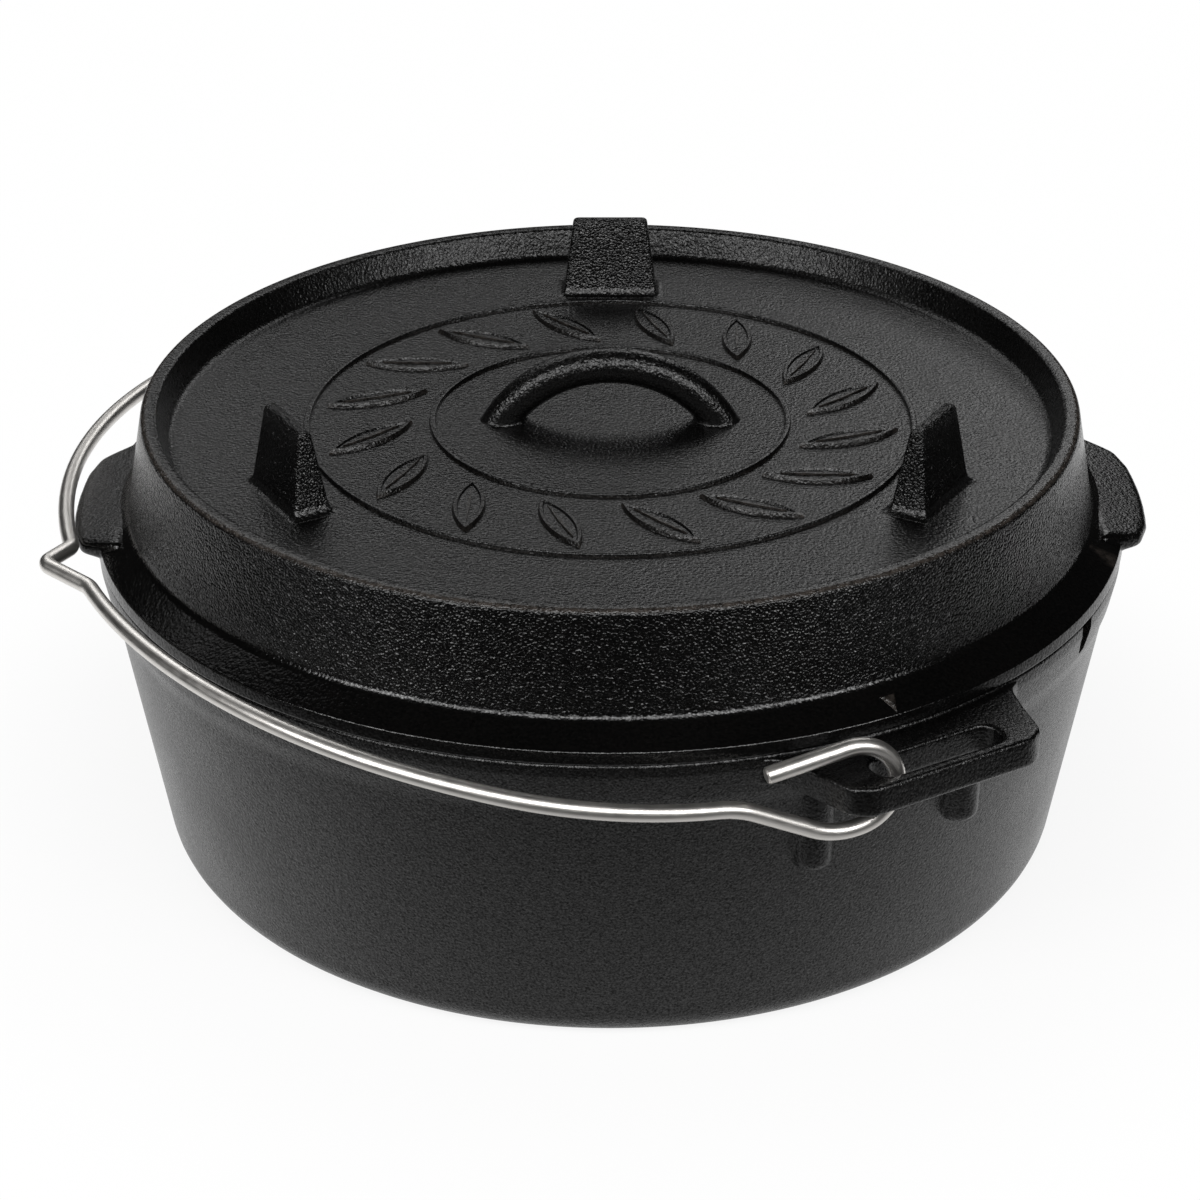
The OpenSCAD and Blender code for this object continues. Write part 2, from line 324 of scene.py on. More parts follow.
    @staticmethod
    def walk(start: Iterable[BMEdge], among: set[BMEdge]) -> list[BMEdge]:
        """Follows connected edges.

        Args:
            start: Edges to start from.
            among: Edges that may be followed.

        Returns:
            Every edge reached.
        """
        found = set(start)
        front = list(found)
        while front:
            edge = front.pop()
            for vert in edge.verts:
                for other in vert.link_edges:
                    if other in among and other not in found:
                        found.add(other)
                        front.append(other)
        return list(found)

    @staticmethod
    def soften(bm: BMesh, offset: float, angle: float = 40.0, segments: int = 3) -> BMesh:
        """Bevels the sharp edges.

        Args:
            bm: The mesh to bevel.
            offset: Width of the bevel.
            angle: Edges sharper than this are bevelled, in degrees.
            segments: Segments across the bevel.

        Returns:
            The same mesh.
        """
        bmesh.ops.dissolve_limit(
            bm, angle_limit=math.radians(FLAT), verts=bm.verts, edges=bm.edges,
            use_dissolve_boundaries=False,
        )
        shared = [e for e in bm.edges if len(e.link_faces) == 2]
        sharp = [e for e in shared if e.calc_face_angle(0) > math.radians(angle)]
        bmesh.ops.bevel(
            bm, geom=sharp, offset=offset, offset_type="OFFSET", segments=segments, profile=0.5,
            affect="EDGES", clamp_overlap=True, material=-1,
        )
        bmesh.ops.recalc_face_normals(bm, faces=bm.faces)
        return bm

    @staticmethod
    def place(bm: BMesh, matrix: Matrix) -> BMesh:
        """Moves a mesh, and keeps its normals outwards when the move mirrors it.

        Args:
            bm: The mesh to move.
            matrix: The move.

        Returns:
            The same mesh.
        """
        bmesh.ops.transform(bm, matrix=matrix, verts=bm.verts)
        bmesh.ops.recalc_face_normals(bm, faces=bm.faces)
        return bm

    @staticmethod
    def settle(name: str, bm: BMesh) -> bpy.types.Mesh:
        """Turns a bmesh into mesh data.

        Args:
            name: Name of the data.
            bm: The mesh, which is freed.

        Returns:
            The mesh data.
        """
        mesh = bpy.data.meshes.new(name)
        bm.to_mesh(mesh)
        bm.free()
        return mesh

    @classmethod
    def gather(cls, parts: Iterable[BMesh]) -> BMesh:
        """Puts several meshes into one.

        Args:
            parts: The meshes, which are freed.

        Returns:
            One mesh with all of them.
        """
        whole = bmesh.new()
        for part in parts:
            mesh = cls.settle("part", part)
            whole.from_mesh(mesh)
            bpy.data.meshes.remove(mesh)
        return whole

    @classmethod
    def run(cls, bm: BMesh, modifiers: Sequence[tuple[str, dict[str, object]]]) -> BMesh:
        """Runs modifiers on a mesh.

        Args:
            bm: The mesh, which is freed.
            modifiers: Modifier types with their settings.

        Returns:
            The finished mesh.
        """
        mesh = cls.settle("work", bm)
        obj = link("work", mesh)
        for kind, settings in modifiers:
            modifier = obj.modifiers.new(kind.lower(), kind)
            for name, value in settings.items():
                setattr(modifier, name, value)
        done = obj.evaluated_get(bpy.context.evaluated_depsgraph_get())
        result = bmesh.new()
        result.from_mesh(done.to_mesh())
        done.to_mesh_clear()
        bpy.data.objects.remove(obj)
        bpy.data.meshes.remove(mesh)
        return result

    @classmethod
    def fuse(cls, parts: Iterable[BMesh], voxel: float, rounds: int) -> BMesh:
        """Melts closed shapes into one skin with soft inside corners.

        Args:
            parts: The shapes, which are freed.
            voxel: Cell size of the skin.
            rounds: Smoothing rounds.

        Returns:
            The fused skin.
        """
        return cls.run(cls.gather(parts), [
            ("REMESH", {"mode": "VOXEL", "voxel_size": voxel, "adaptivity": 0.0}),
            ("SMOOTH", {"factor": SMOOTHING, "iterations": rounds}),
            ("DECIMATE", {"ratio": KEPT}),
        ])

    @classmethod
    def cut(cls, solid: BMesh, tool: BMesh) -> BMesh:
        """Cuts one solid out of another.

        Args:
            solid: The solid that is cut, which is freed.
            tool: The solid that is taken away, which is freed.

        Returns:
            What is left.
        """
        mesh = cls.settle("tool", tool)
        cutter = link("tool", mesh)
        settings = {"operation": "DIFFERENCE", "solver": "EXACT", "object": cutter}
        result = cls.run(solid, [("BOOLEAN", settings)])
        bpy.data.objects.remove(cutter)
        bpy.data.meshes.remove(mesh)
        return result

    @classmethod
    def pour(cls, name: str, bm: BMesh, sharp: float = 35.0) -> bpy.types.Object:
        """Turns a mesh in millimetres into an object in metres.

        Args:
            name: Name of the piece.
            bm: The mesh, which is freed.
            sharp: Edges sharper than this stay hard, in degrees.

        Returns:
            The object, at the origin.
        """
        bmesh.ops.scale(bm, vec=(MM, MM, MM), verts=bm.verts)
        bmesh.ops.dissolve_degenerate(bm, dist=SLIVER, edges=bm.edges)
        mesh = cls.settle(name, bm)
        mesh.shade_smooth()
        mesh.set_sharp_from_angle(angle=math.radians(sharp))
        return link(name, mesh)


class Shader:
    """A small helper for building the nodes of a material or a world."""

    def __init__(self, owner: bpy.types.Material | bpy.types.World) -> None:
        """Starts with an empty node tree.

        Args:
            owner: The new material or world.
        """
        owner.use_nodes = True
        self.owner = owner
        self.tree = owner.node_tree
        self.tree.nodes.clear()

    def node(
        self, kind: str, inputs: dict[str | int, object] | None = None, **settings: object,
    ) -> bpy.types.Node:
        """Adds a node.

        Args:
            kind: Node type.
            inputs: Values or sockets for its inputs.
            settings: Properties of the node.

        Returns:
            The new node.
        """
        node = self.tree.nodes.new(kind)
        for name, value in settings.items():
            setattr(node, name, value)
        for key, value in (inputs or {}).items():
            if isinstance(value, Socket):
                self.tree.links.new(value, node.inputs[key])
            else:
                node.inputs[key].default_value = value
        return node

    def where(self) -> Socket:
        """Object coordinates, in metres."""
        return self.node("ShaderNodeTexCoord").outputs["Object"]

    def math(self, operation: str, *values: object, clamp: bool = False) -> Socket:
        """Adds a maths node.

        Args:
            operation: The operation.
            values: Numbers or sockets.
            clamp: True to keep the result between 0 and 1.

        Returns:
            The result's socket.
        """
        inputs = dict(enumerate(values))
        return self.node("ShaderNodeMath", inputs, operation=operation, use_clamp=clamp).outputs[0]

    def times(self, one: object, other: object) -> Socket:
        """Multiplies two numbers or sockets."""
        return self.math("MULTIPLY", one, other)

    def vector(self, operation: str, *values: object) -> Socket:
        """Adds a vector maths node.

        Args:
            operation: The operation.
            values: Vectors or sockets.

        Returns:
            The result's socket, a number for a length.
        """
        inputs = dict(enumerate(values))
        outputs = self.node("ShaderNodeVectorMath", inputs, operation=operation).outputs
        return outputs["Value" if operation == "LENGTH" else "Vector"]

    def remap(
        self, value: Socket, ends: Pair, to: Pair = (0.0, 1.0), smooth: bool = False,
    ) -> Socket:
        """Adds a map range node.

        Args:
            value: The socket to map.
            ends: Lower and upper end of the value.
            to: Result at the lower and at the upper end.
            smooth: True for a smooth step.

        Returns:
            The result's socket.
        """
        names = ("From Min", "From Max", "To Min", "To Max")
        inputs = {"Value": value, **dict(zip(names, (*ends, *to)))}
        kind = "SMOOTHSTEP" if smooth else "LINEAR"
        return self.node("ShaderNodeMapRange", inputs, interpolation_type=kind).outputs["Result"]

    def fade(
        self, value: Socket, ends: Pair, to: Pair = (0.0, 1.0), smooth: bool = True,
    ) -> Socket:
        """Maps a length in metres, with the ends in millimetres."""
        return self.remap(value, (ends[0] * MM, ends[1] * MM), to, smooth)

    def noise(
        self, vector: Socket, size: float, detail: float = 2.0, roughness: float = 0.5,
    ) -> Socket:
        """Adds a noise texture.

        Args:
            vector: Coordinates in metres.
            size: Size of its features in millimetres.
            detail: Octaves.
            roughness: Weight of the finer octaves.

        Returns:
            The factor's socket.
        """
        scale = 1 / (size * MM)
        inputs = {"Vector": vector, "Scale": scale, "Detail": detail, "Roughness": roughness}
        return self.node("ShaderNodeTexNoise", inputs).outputs["Fac"]

    def blend(self, factor: Socket, one: object, other: object, kind: str = "RGBA") -> Socket:
        """Mixes two colours, or two numbers if the kind is FLOAT."""
        inputs = {"Factor": factor, "A": one, "B": other}
        return self.node("ShaderNodeMix", inputs, data_type=kind).outputs["Result"]

    def finish(self, surface: Socket, output: str = "ShaderNodeOutputMaterial") -> bpy.types.ID:
        """Joins the shader to the output.

        Args:
            surface: The shader's socket.
            output: Type of the output node.

        Returns:
            The finished material or world.
        """
        self.node(output, {"Surface": surface})
        return self.owner


@dataclass(frozen=True)
class CastIron:
    """Seasoned sand-cast iron, black, with a grained skin.

    A grain is a pair of its size and its height, and a patch a pair of its size and its least
    strength. From tray_top to rim_edge, each field says where a zone of the lid begins and ends.
    Lengths are in millimetres.
    """

    grain: Grain = Grain.FINE
    dark: Triple = (0.0008, 0.0008, 0.0008)
    worn: Triple = (0.0024, 0.0022, 0.0021)
    worn_from: Pair = (0.55, 0.9)
    # Light brown for worn edges: partly rubbed wear, partly a painted highlight on edges and rim.
    rust_and_highlight: Triple = (0.042, 0.035, 0.030)
    wear_and_highlight_ends: Pair = (0.54, 0.64)
    wear_and_highlight_most: float = 0.6
    wear_and_highlight_patch: Pair = (2.2, 0.15)
    rub_roughness: float = 0.12
    rim_patch: Pair = (1.6, 0.2)
    rim_inner: float = 0.25
    patch: Pair = (0.35, 0.65)
    roughness: Pair = (0.23, 0.33)
    roughness_from: Pair = (0.7, 1.3)
    wall_roughness: float = 0.16
    fine: Pair = (0.85, 0.24)
    coarse: Pair = (0.55, 0.13)
    beads: Pair = (0.75, 0.19)
    dents: Pair = (1.7, 0.17)
    wave: Pair = (7.0, 0.08)
    blotch: float = 30.0
    blotch_share: float = 0.4
    speck: float = 0.6
    speck_from: Pair = (0.3, 0.7)
    sheen: Pair = (0.14, 0.62)
    leg_grain: float = 1.7
    grip_grain: float = 0.05
    tab_grain: float = 0.3
    calming: float = 0.6
    tray_top: Pair = (132.0, 134.5)
    grip_end: Pair = (60.0, 65.0)
    legs_end: Pair = (122.0, 126.0)
    wall: Pair = (138.6, 140.6)
    flange_top: Pair = (110.2, 113.4)
    tab_side: Pair = (30.0, 33.0)
    rim_top: Pair = (138.6, 139.4)
    rim_edge: Pair = (138.6, 139.8)

    def patches(self, sh: Shader, where: Socket, size: float, least: float) -> Socket:
        """Noise that breaks up a worn edge and its painted highlight."""
        return sh.remap(sh.noise(where, size, 3.0, 0.6), self.patch, (least, 1.0))

    def zones(self, sh: Shader, where: Socket) -> tuple[Socket, Socket, Socket]:
        """Finds where a lid's skin is coarse, calm, or worn and lightened with a painted
        highlight.

        Args:
            sh: The material being built.
            where: Object coordinates.

        Returns:
            How coarse the wall, tabs, legs and grip are, where the flange is, and where the rim is
            worn and lightened with a painted highlight.
        """
        x, y, z = sh.node("ShaderNodeSeparateXYZ", {"Vector": where}).outputs
        away = sh.vector("LENGTH", sh.node("ShaderNodeCombineXYZ", {"X": x, "Y": y}).outputs[0])
        outer = sh.fade(away, self.wall)
        high = sh.fade(z, self.flange_top)
        legs = sh.fade(z, self.tray_top, (0.0, self.leg_grain))
        legs = sh.times(legs, sh.fade(away, self.grip_end, (self.grip_grain, 1.0), smooth=False))
        legs = sh.times(legs, sh.fade(away, self.legs_end, (1.0, 0.0), smooth=False))
        tabs = sh.times(outer, sh.fade(sh.math("ABSOLUTE", y), self.tab_side, (1.0, 0.0)))
        coarse = sh.math("MAXIMUM", sh.times(outer, high), sh.times(tabs, self.tab_grain))
        coarse = sh.math("MAXIMUM", coarse, legs)
        flange = sh.times(outer, sh.math("SUBTRACT", 1.0, high))
        flange = sh.math("SUBTRACT", flange, tabs, clamp=True)
        rim = sh.fade(away, self.rim_edge, (self.rim_inner, 1.0))
        rim = sh.times(rim, sh.fade(z, self.rim_top))
        rim = sh.times(sh.times(rim, self.patches(sh, where, *self.rim_patch)), outer)
        return coarse, flange, rim

    def make(self, name: str) -> bpy.types.Material:
        """Builds the material.

        Args:
            name: Name of the material.

        Returns:
            The material.
        """
        sh = Shader(bpy.data.materials.new(name))
        where = sh.where()
        fine = sh.noise(where, self.fine[0], 2.0, 0.55)
        waves = sh.noise(where, self.wave[0], 1.0, 0.4)
        blotch = sh.noise(where, self.blotch)
        mix = sh.remap(sh.math("ADD", fine, sh.times(blotch, self.blotch_share)), self.worn_from)
        tint = sh.blend(mix, (*self.dark, 1), (*self.worn, 1))
        rough = sh.remap(sh.math("ADD", fine, blotch), self.roughness_from, self.roughness)
        depth = sh.times(fine, self.fine[1])
        # Sharp edges turn light brown: partly rubbed wear, partly a painted highlight.
        sharp = sh.node("ShaderNodeNewGeometry").outputs["Pointiness"]
        wear_and_highlight = sh.remap(sharp, self.wear_and_highlight_ends, (0.0, self.wear_and_highlight_most))
        wear_and_highlight = sh.times(wear_and_highlight, self.patches(sh, where, *self.wear_and_highlight_patch))
        if self.grain is Grain.COARSE:
            grit = sh.times(sh.noise(where, self.coarse[0], 1.5), self.coarse[1])
            cells = sh.node(
                "ShaderNodeTexVoronoi", {"Vector": where, "Scale": 1 / (self.beads[0] * MM)},
            ).outputs["Distance"]
            grit = sh.math("MULTIPLY_ADD", sh.math("POWER", cells, 2.0), -self.beads[1], grit)
            dents = sh.times(sh.noise(where, self.dents[0], 1.0), self.dents[1])
            coarse, flange, rim = self.zones(sh, where)
            wear_and_highlight = sh.math("MAXIMUM", wear_and_highlight, rim)
            calm = sh.math("MAXIMUM", coarse, flange, clamp=True)
            left = sh.math("MULTIPLY_ADD", calm, -self.calming, 1.0)
            depth = sh.times(sh.math("ADD", depth, dents), left)
            depth = sh.math("MULTIPLY_ADD", grit, coarse, depth)
            rough = sh.blend(calm, rough, self.wall_roughness, "FLOAT")
        rough = sh.math("MULTIPLY_ADD", wear_and_highlight, self.rub_roughness, rough)
        # Mixes the worn brown and the painted edge highlight into the colour.
        tint = sh.blend(wear_and_highlight, tint, (*self.rust_and_highlight, 1))
        depth = sh.math("ADD", depth, sh.times(waves, self.wave[1]))
        bump = sh.node("ShaderNodeBump", {"Strength": 1.0, "Distance": MM, "Height": depth})
        speck = sh.remap(sh.noise(where, self.speck, 1.0), self.speck_from, self.sheen)
        skin = sh.node("ShaderNodeBsdfPrincipled", {
            "Base Color": tint, "Roughness": rough, "Normal": bump.outputs["Normal"],
            "Specular IOR Level": speck,
        })
        return sh.finish(skin.outputs["BSDF"])


@dataclass(frozen=True)
class DrawnWire:
    """Bright stainless wire with fine lines drawn along it."""

    colour: Triple = (0.8, 0.775, 0.74)
    shade: float = 0.86
    roughness: Pair = (0.29, 0.42)
    roughness_from: Pair = (0.6, 1.4)
    scuff: float = 4.0
    lay: str = "lay"
    lines: float = 9.0
    lines_from: Pair = (0.3, 0.7)
    groove: float = 0.05
    groove_strength: float = 0.25

    def make(self, name: str) -> bpy.types.Material:
        """Builds the material.

        Args:
            name: Name of the material.

        Returns:
            The material.
        """
        sh = Shader(bpy.data.materials.new(name))
        lay = sh.node("ShaderNodeAttribute", attribute_name=self.lay).outputs["Vector"]
        streak = sh.node("ShaderNodeTexNoise", {
            "Vector": lay, "Scale": self.lines, "Detail": 3.0, "Roughness": 0.6,
        }).outputs["Fac"]
        scuff = sh.noise(sh.where(), self.scuff, 3.0, 0.6)
        shaded = [c * self.shade for c in self.colour]
        tint = sh.blend(sh.remap(streak, self.lines_from), (*shaded, 1), (*self.colour, 1))
        rough = sh.remap(sh.math("ADD", streak, scuff), self.roughness_from, self.roughness)
        bump = sh.node("ShaderNodeBump", {
            "Strength": self.groove_strength, "Distance": self.groove * MM, "Height": streak,
        })
        skin = sh.node("ShaderNodeBsdfPrincipled", {
            "Base Color": tint, "Metallic": 1.0, "Roughness": rough,
            "Normal": bump.outputs["Normal"],
        })
        return sh.finish(skin.outputs["BSDF"])


@dataclass
class PotCasting:
    """The pot: a leaning round wall, two slotted ears on nubs and a probe notch."""

    height: float = 101.0
    rim_r: float = 156.0
    foot_r: float = 138.7
    foot_round: float = 11.5
    wall_t: float = 4.6
    wall_level: float = 1.013
    floor_t: float = 5.5
    mouth_r: float = 150.4
    mouth_z: Pair = (92.0, 96.0)
    slope: float = 16.8 / 101.0
    collar_z: Triple = (84.0, 89.0, 97.0)
    collar_swell: float = 0.9
    ear_az: float = -59.0
    mirror_az: float = -71.0
    ear_n: float = 179.4
    ear_low: float = 91.6
    ear_high: float = 100.0
    ear_draft: float = 0.8
    ear_round: float = 1.8
    ear_skin: Skin = (0.6, 7)
    slot: Triple = (165.2, 175.0, 20.5)
    slot_round: float = 4.0
    bed_z: Pair = (50.0, 99.6)
    bed_half: float = 19.0
    bed_sunk: float = 0.35
    nub_t: Pair = (-23.5, 26.5)
    nub_n: float = 146.8
    nub_r: Pair = (5.7, 6.5)
    nub_z: Pair = (59.0, 94.0)
    nub_round: float = 4.0
    notch_az: float = -28.2
    notch_w: float = 7.0
    notch_d: float = 10.6
    notch_knee: float = 0.55
    segments: int = 320
    finish: CastIron = field(default_factory=CastIron)

    def wall_at(self, z: float) -> float:
        """Outer radius of the wall line at a height."""
        return self.foot_r + self.slope * z

    def body(self) -> BMesh:
        """Turns the pot and cuts the notch.

        Returns:
            The pot without its ears.
        """
        inner = self.foot_r - self.wall_t * self.wall_level
        start, swell, full = self.collar_z
        below, mouth = self.mouth_z
        pot = Foundry.turned(rounded([
            (0, 0, 0), (self.foot_r, 0, self.foot_round), (self.wall_at(start), start, 18),
            (self.wall_at(swell) + self.collar_swell, swell, 10), (self.rim_r, full, 4),
            (self.rim_r, self.height, 1.3), (self.mouth_r, self.height, 1.0),
            (self.mouth_r, mouth, 2.5), (inner + self.slope * below, below, 3),
            (inner + self.slope * self.floor_t, self.floor_t, 8.5), (0, self.floor_t, 0),
        ], step=9), self.segments)
        w, d, top = self.notch_w, self.notch_d, self.height
        knee = top - d * self.notch_knee
        tool = Foundry.plate([rounded([
            (-w / 2, top + 1, 0), (-w / 2, knee, 1), (-w / 4, top - d, 1),
            (w / 4, top - d, 1), (w / 2, knee, 1), (w / 2, top + 1, 0),
        ], closed=True)], self.mouth_r - 10, self.mouth_r + 14)
        upright = Matrix(((0, 0, 1, 0), (1, 0, 0, 0), (0, 1, 0, 0), (0, 0, 0, 1)))
        return Foundry.cut(pot, Foundry.place(tool, spin_z(self.notch_az) @ upright))

    def ear(self) -> BMesh:
        """Casts one ear with its two nubs, pointing along +X.

        Returns:
            The fused ear.
        """
        outline = both_sides([
            (140.0, 46.0, 0), (150.0, 43.0, 3), (153.0, 38.2, 8), (163.0, 34.8, 12),
            (self.ear_n, 30.4, 9.0),
        ])
        inside, outside, half = self.slot
        hole = both_sides([(inside, half, self.slot_round), (outside, half, self.slot_round)])
        lines = [rounded(outline, True), rounded(hole, True)]
        plate = Foundry.plate(lines, self.ear_low, self.ear_high)
        face = [v for v in plate.verts if v.co.z > self.ear_high - 1 and v.co.x > outside + 1]
        bmesh.ops.translate(plate, verts=face, vec=(-self.ear_draft, 0, 0))
        parts = [Foundry.soften(plate, self.ear_round, 50, 4)]
        low, high = self.nub_z
        tip, root = self.nub_r
        for t in self.nub_t:
            line = [(0, low, 0), (tip, low, self.nub_round), (root, high, 0), (0, high, 0)]
            nub = Foundry.turned(rounded(line), 40)
            parts.append(Foundry.place(nub, Matrix.Translation((self.nub_n, t, 0))))
        parts.append(self.ear_bed())
        wall, mouth = self.wall_t / 2, self.mouth_r + 2.4
        hollow = Foundry.turned([
            (0, 40), (self.wall_at(40) - wall, 40), (self.wall_at(91) - wall, 91),
            (mouth, self.mouth_z[1]), (mouth, 110), (0, 110),
        ], 180)
        return Foundry.cut(Foundry.fuse(parts, *self.ear_skin), hollow)

    def ear_bed(self) -> BMesh:
        """Makes the patch of wall that an ear melts into, just under the pot's own skin.

        Returns:
            The patch.
        """
        start, swell, full = self.collar_z
        low, high = self.bed_z
        sunk, rim = self.bed_sunk, self.rim_r - self.bed_sunk
        return Foundry.sector([
            (self.wall_at(low) - sunk, low), (self.wall_at(start) - sunk, start),
            (self.wall_at(swell) + self.collar_swell - sunk, swell), (rim, full), (rim, high),
            (152.4, high), (self.wall_at(low) - 3.6, low),
        ], self.bed_half, 60)

    def build(self) -> bpy.types.Object:
        """Makes the whole casting.

        Returns:
            The pot.
        """
        front = Foundry.place(self.ear(), spin_z(self.ear_az))
        across = spin_z(self.mirror_az) @ Vector((1, 0, 0))
        rear = Foundry.place(front.copy(), Matrix.Scale(-1, 4, across))
        pot = Foundry.pour("pot_casting", Foundry.gather([self.body(), front, rear]))
        return self.dress(pot)

    def dress(self, pot: bpy.types.Object) -> bpy.types.Object:
        """Gives the pot its finish and its place in the frame.

        Args:
            pot: The casting.

        Returns:
            The same object.
        """
        pot.data.materials.append(self.finish.make("pot_iron"))
        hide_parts("pot")
        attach(pot, "pot")
        return pot


@dataclass
class LidCasting:
    """The lid: a flange with two tabs, a tall wall, a coal tray, three legs and a grip.

    The skirt and the crown of a leg are pairs of height and widening, the skirt's from the tray
    floor and the crown's from the top.
    """

    seat: float = 101.0
    top: float = 139.7
    tray: float = 130.8
    tray_r: float = 133.0
    ceiling: float = 126.0
    rim_r: float = 141.0
    rim_w: float = 4.5
    foot_r: float = 146.6
    foot_round: float = 4.0
    flange_r: float = 156.5
    flange_z: Pair = (104.9, 110.3)
    plug_r: Pair = (145.4, 149.4)
    plug_z: float = 97.8
    segments: int = 320
    tab_r: float = 163.3
    tab_az: Pair = (0.0, 181.9)
    tab_half: float = 7.2
    tab_z: Pair = (102.2, 113.0)
    tab_fall: float = 0.2456
    tab_round: float = 1.5
    tab_skin: Skin = (0.5, 24)
    legs: tuple[Pair, ...] = ((90.0, 103.6), (210.0, 106.6), (330.0, 106.6))
    leg_h: float = 25.0
    leg_foot: Pair = (11.5, 30.5)
    leg_top: Pair = (3.8, 24.0)
    leg_round: float = 1.2
    leg_skirt: tuple[Pair, ...] = (
        (-0.6, 2.4), (0.05, 2.0), (0.3, 1.2), (0.8, 0.6), (1.6, 0.2), (2.8, 0.0),
    )
    leg_crown: tuple[Pair, ...] = (
        (-9.0, 0.0), (-1.4, 0.0), (-0.7, -0.15), (-0.25, -0.45), (0.0, -1.0),
    )
    grip_r: float = 39.37
    grip_z: float = 109.33
    grip_sunk: float = 3.0
    grip_bed: Triple = (34.0, 26.0, 3.2)
    grip_bed_n: float = 34.0
    grip_bed_sunk: float = 1.95
    grip_skin: Skin = (0.6, 6)
    bar_r: float = 5.5
    leaf_count: int = 16
    leaf_r: float = 73.0
    leaf_turn: float = 32.0
    leaf: Pair = (33.0, 10.0)
    rib: Pair = (0.33, 0.5)
    relief: float = 1.3
    bead_at: Pair = (-19.1, 18.9)
    bead: Pair = (0.85, 1.1)
    mark_az: float = -60.0
    mark_spot: Pair = (155.4, 105.0)
    mark_mid: float = -4.2
    finish: CastIron = field(default_factory=lambda: CastIron(grain=Grain.COARSE))

    def body(self) -> BMesh:
        """Turns the lid.

        Returns:
            The lid's plain round shape.
        """
        low, foot = self.flange_z
        inner, outer = self.plug_r
        return Foundry.turned(rounded([
            (0, self.tray, 0), (self.tray_r, self.tray, 2.6),
            (self.rim_r - self.rim_w - 0.1, self.top, 1.5), (self.rim_r, self.top, 2.0),
            (self.foot_r - 0.2, foot, self.foot_round), (self.flange_r - 0.5, low, 0.8),
            (self.flange_r, self.seat, 0.7), (outer, self.seat, 0.4), (outer, self.plug_z, 0.8),
            (inner, self.plug_z, 1.2), (142.2, 104, 4), (139.0, 121.5, 5),
            (134.5, self.ceiling, 5), (0, self.ceiling, 0),
        ], step=9), self.segments)

    def tab(self, az: float) -> BMesh:
        """Casts one tab on the flange.

        Args:
            az: Its direction in degrees.

        Returns:
            The fused tab.
        """
        side = [(146.0, 37.0, 0), (155.0, 32.2, 4), (159.0, 29.6, 5)]
        edge = arc(0, 0, self.tab_r, -self.tab_half, 2 * self.tab_half, 1.2)
        outline = rounded(both_sides(side, [(n, t, 0.0) for n, t in edge]), True)
        plate = Foundry.plate([outline], *self.tab_z)
        bmesh.ops.bisect_plane(
            plate, geom=Foundry.whole(plate), plane_co=(147.2, 0, 109.2),
            plane_no=Vector((self.tab_fall, 0, 1)).normalized(), clear_outer=True,
        )
        plate = Foundry.soften(Foundry.clean(plate), self.tab_round)
        bed = Foundry.sector([
            (143, 101.6), (156.0, 101.6), (156.0, 104.5), (147.6, 108.9), (146.2, 110.5),
            (143, 112),
        ], 16, 60)
        return Foundry.place(Foundry.fuse([plate, bed], *self.tab_skin), spin_z(az))

    def leg(self, az: float, radius: float) -> BMesh:
        """Casts one leg on the tray floor.

        Args:
            az: Its direction in degrees.
            radius: Its distance from the axis.

        Returns:
            The leg, with a fillet round its foot.
        """
        levels: list[list[Triple]] = []
        crown = tuple((self.leg_h + up, out) for up, out in self.leg_crown)
        for up, out in self.leg_skirt + crown:
            share = max(0.0, up / self.leg_h)
            x, y = (
                (1 - share) * foot / 2 + share * top / 2 + out
                for foot, top in zip(self.leg_foot, self.leg_top)
            )
            outline = both_sides([(-x, y, self.leg_round), (x, y, self.leg_round)])
            levels.append([(u, v, self.tray + up) for u, v in rounded(outline, True)])
        spot = spin_z(az) @ Matrix.Translation((radius, 0, 0))
        return Foundry.place(Foundry.loft(levels), spot)

    def grip(self) -> BMesh:
        """Bends the arched grip and melts its feet into the tray.

        Returns:
            The fused grip.
        """
        bm = bmesh.new()
        bmesh.ops.create_circle(bm, cap_ends=True, radius=self.bar_r, segments=40)
        begin = math.asin((self.tray - self.grip_sunk - self.grip_z) / self.grip_r)
        lean = Matrix.Rotation(-begin, 3, "Y")
        bmesh.ops.rotate(bm, verts=bm.verts, cent=(0, 0, 0), matrix=lean)
        foot = (self.grip_r * math.cos(begin), 0, self.grip_z + self.grip_r * math.sin(begin))
        bmesh.ops.translate(bm, verts=bm.verts, vec=foot)
        Foundry.spin(bm, math.pi - 2 * begin, 64, centre=(0, 0, self.grip_z), axis=(0, -1, 0))
        parts = [Foundry.clean(bm)]
        for side in (-1, 1):
            bed = bmesh.new()
            bmesh.ops.create_cube(bed, size=1.0)
            bmesh.ops.scale(bed, vec=self.grip_bed, verts=bed.verts)
            spot = (side * self.grip_bed_n, 0, self.tray - self.grip_bed_sunk)
            bmesh.ops.translate(bed, verts=bed.verts, vec=spot)
            parts.append(bed)
        return Foundry.fuse(parts, *self.grip_skin)

    def blade(self) -> BMesh:
        """Makes one leaf of the cast ring, along +X on the tray floor.

        Returns:
            The leaf, hollow inside its edge, with a rib.
        """
        length, width = self.leaf
        curve = (length * length / 4 + width * width / 4) / width
        half = math.degrees(math.asin(length / 2 / curve))
        upper = arc(0, width / 2 - curve, curve, 90 - half, 2 * half, 4)
        lower = arc(0, curve - width / 2, curve, 270 - half, 2 * half, 4)
        outline = upper[:-1] + lower[:-1]
        top = self.tray + self.relief
        steps = (
            (self.tray - 0.4, 0.0), (self.tray + self.relief * 0.6, 0.25), (top, 0.6),
            (top, 1.5), (top - 0.6, 1.9),
        )
        levels: list[list[Triple]] = []
        for z, inset in steps:
            along, across = 1 - 3.6 * inset / length, 1 - 2 * inset / width
            levels.append([(x * along, y * across, z) for x, y in outline])
        reach, thick = length * self.rib[0], self.rib[1]
        line = [(-reach, 0.0), (0.0, -thick), (reach, 0.0), (0.0, thick)]
        return Foundry.gather([Foundry.loft(levels), Foundry.plate([line], self.tray, top)])

